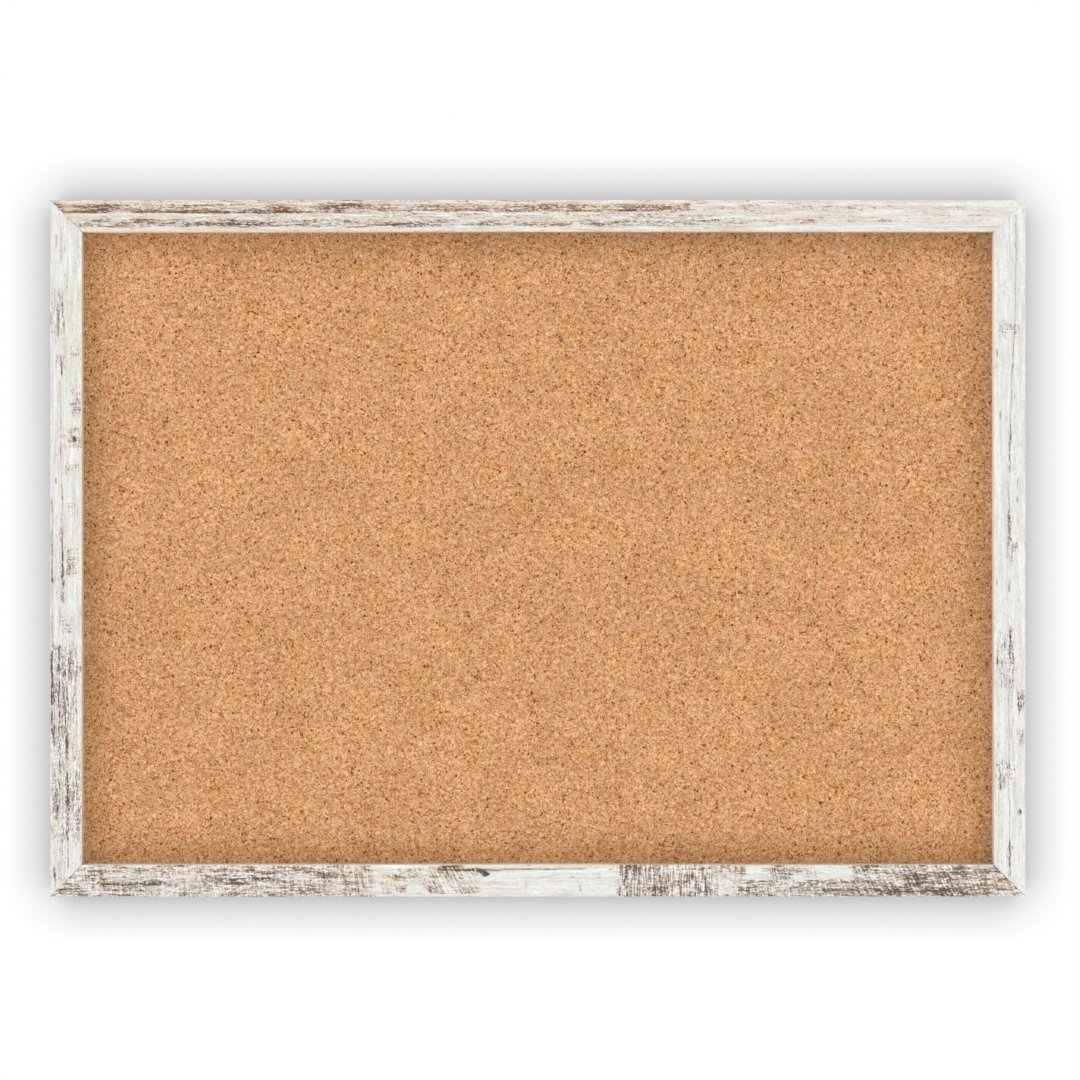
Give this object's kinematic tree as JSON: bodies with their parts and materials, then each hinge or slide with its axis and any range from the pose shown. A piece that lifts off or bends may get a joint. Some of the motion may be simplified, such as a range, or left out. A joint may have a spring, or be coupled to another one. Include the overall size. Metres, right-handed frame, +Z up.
{
  "type": "cork board",
  "caption": "Rectangular wall pin board: a cork sheet on fibreboard in a mitred, whitewashed wooden frame, hung by a swinging wire ring on the back of each stile.",
  "frame": {"origin": "middle of the board on the wall plane, which the hangers' loops and the bumpers touch", "axes": "+X to the right as the board is seen from the front, +Y from the viewer to the wall, +Z up"},
  "size_m": [0.7112, 0.0266, 0.508],
  "materials": {
    "painted_wood": "distressed whitewash",
    "cork": "natural cork, matt",
    "fibreboard": "bare fibreboard",
    "zinc_steel": "zinc plate",
    "dark_steel": "bare steel",
    "soft_rubber": "soft, pale"
  },
  "bodies": {
    "board": {"top_rail": "painted_wood", "right_stile": "painted_wood", "bottom_rail": "painted_wood", "left_stile": "painted_wood", "cork_sheet": "cork", "backing_board": "fibreboard", "corner_nail_top_right_1": "dark_steel", "corner_nail_top_right_2": "dark_steel", "corner_nail_bottom_right_1": "dark_steel", "corner_nail_bottom_right_2": "dark_steel", "corner_nail_bottom_left_1": "dark_steel", "corner_nail_bottom_left_2": "dark_steel", "corner_nail_top_left_1": "dark_steel", "corner_nail_top_left_2": "dark_steel", "framers_point_top_1": "dark_steel", "framers_point_top_2": "dark_steel", "framers_point_top_3": "dark_steel", "framers_point_top_4": "dark_steel", "framers_point_top_5": "dark_steel", "framers_point_bottom_1": "dark_steel", "framers_point_bottom_2": "dark_steel", "framers_point_bottom_3": "dark_steel", "framers_point_bottom_4": "dark_steel", "framers_point_bottom_5": "dark_steel", "framers_point_left_1": "dark_steel", "framers_point_left_2": "dark_steel", "framers_point_left_3": "dark_steel", "framers_point_right_1": "dark_steel", "framers_point_right_2": "dark_steel", "framers_point_right_3": "dark_steel", "hanger_strap_left": "zinc_steel", "hanger_strap_right": "zinc_steel", "hanger_screw_left": "zinc_steel", "hanger_screw_right": "zinc_steel", "bumper_left": "soft_rubber", "bumper_right": "soft_rubber"},
    "left_ring": {"hanger_ring_left": "zinc_steel"},
    "right_ring": {"hanger_ring_right": "zinc_steel"}
  },
  "joints": [
    {"name": "left_ring_swing", "type": "hinge", "parent": "board", "child": "left_ring", "pos_m": [-0.3465, -0.0022, 0.144], "axis": [-1, 0, 0], "range_deg": [-4, 172]},
    {"name": "right_ring_swing", "type": "hinge", "parent": "board", "child": "right_ring", "pos_m": [0.3465, -0.0022, 0.144], "axis": [-1, 0, 0], "range_deg": [-4, 172]}
  ]
}
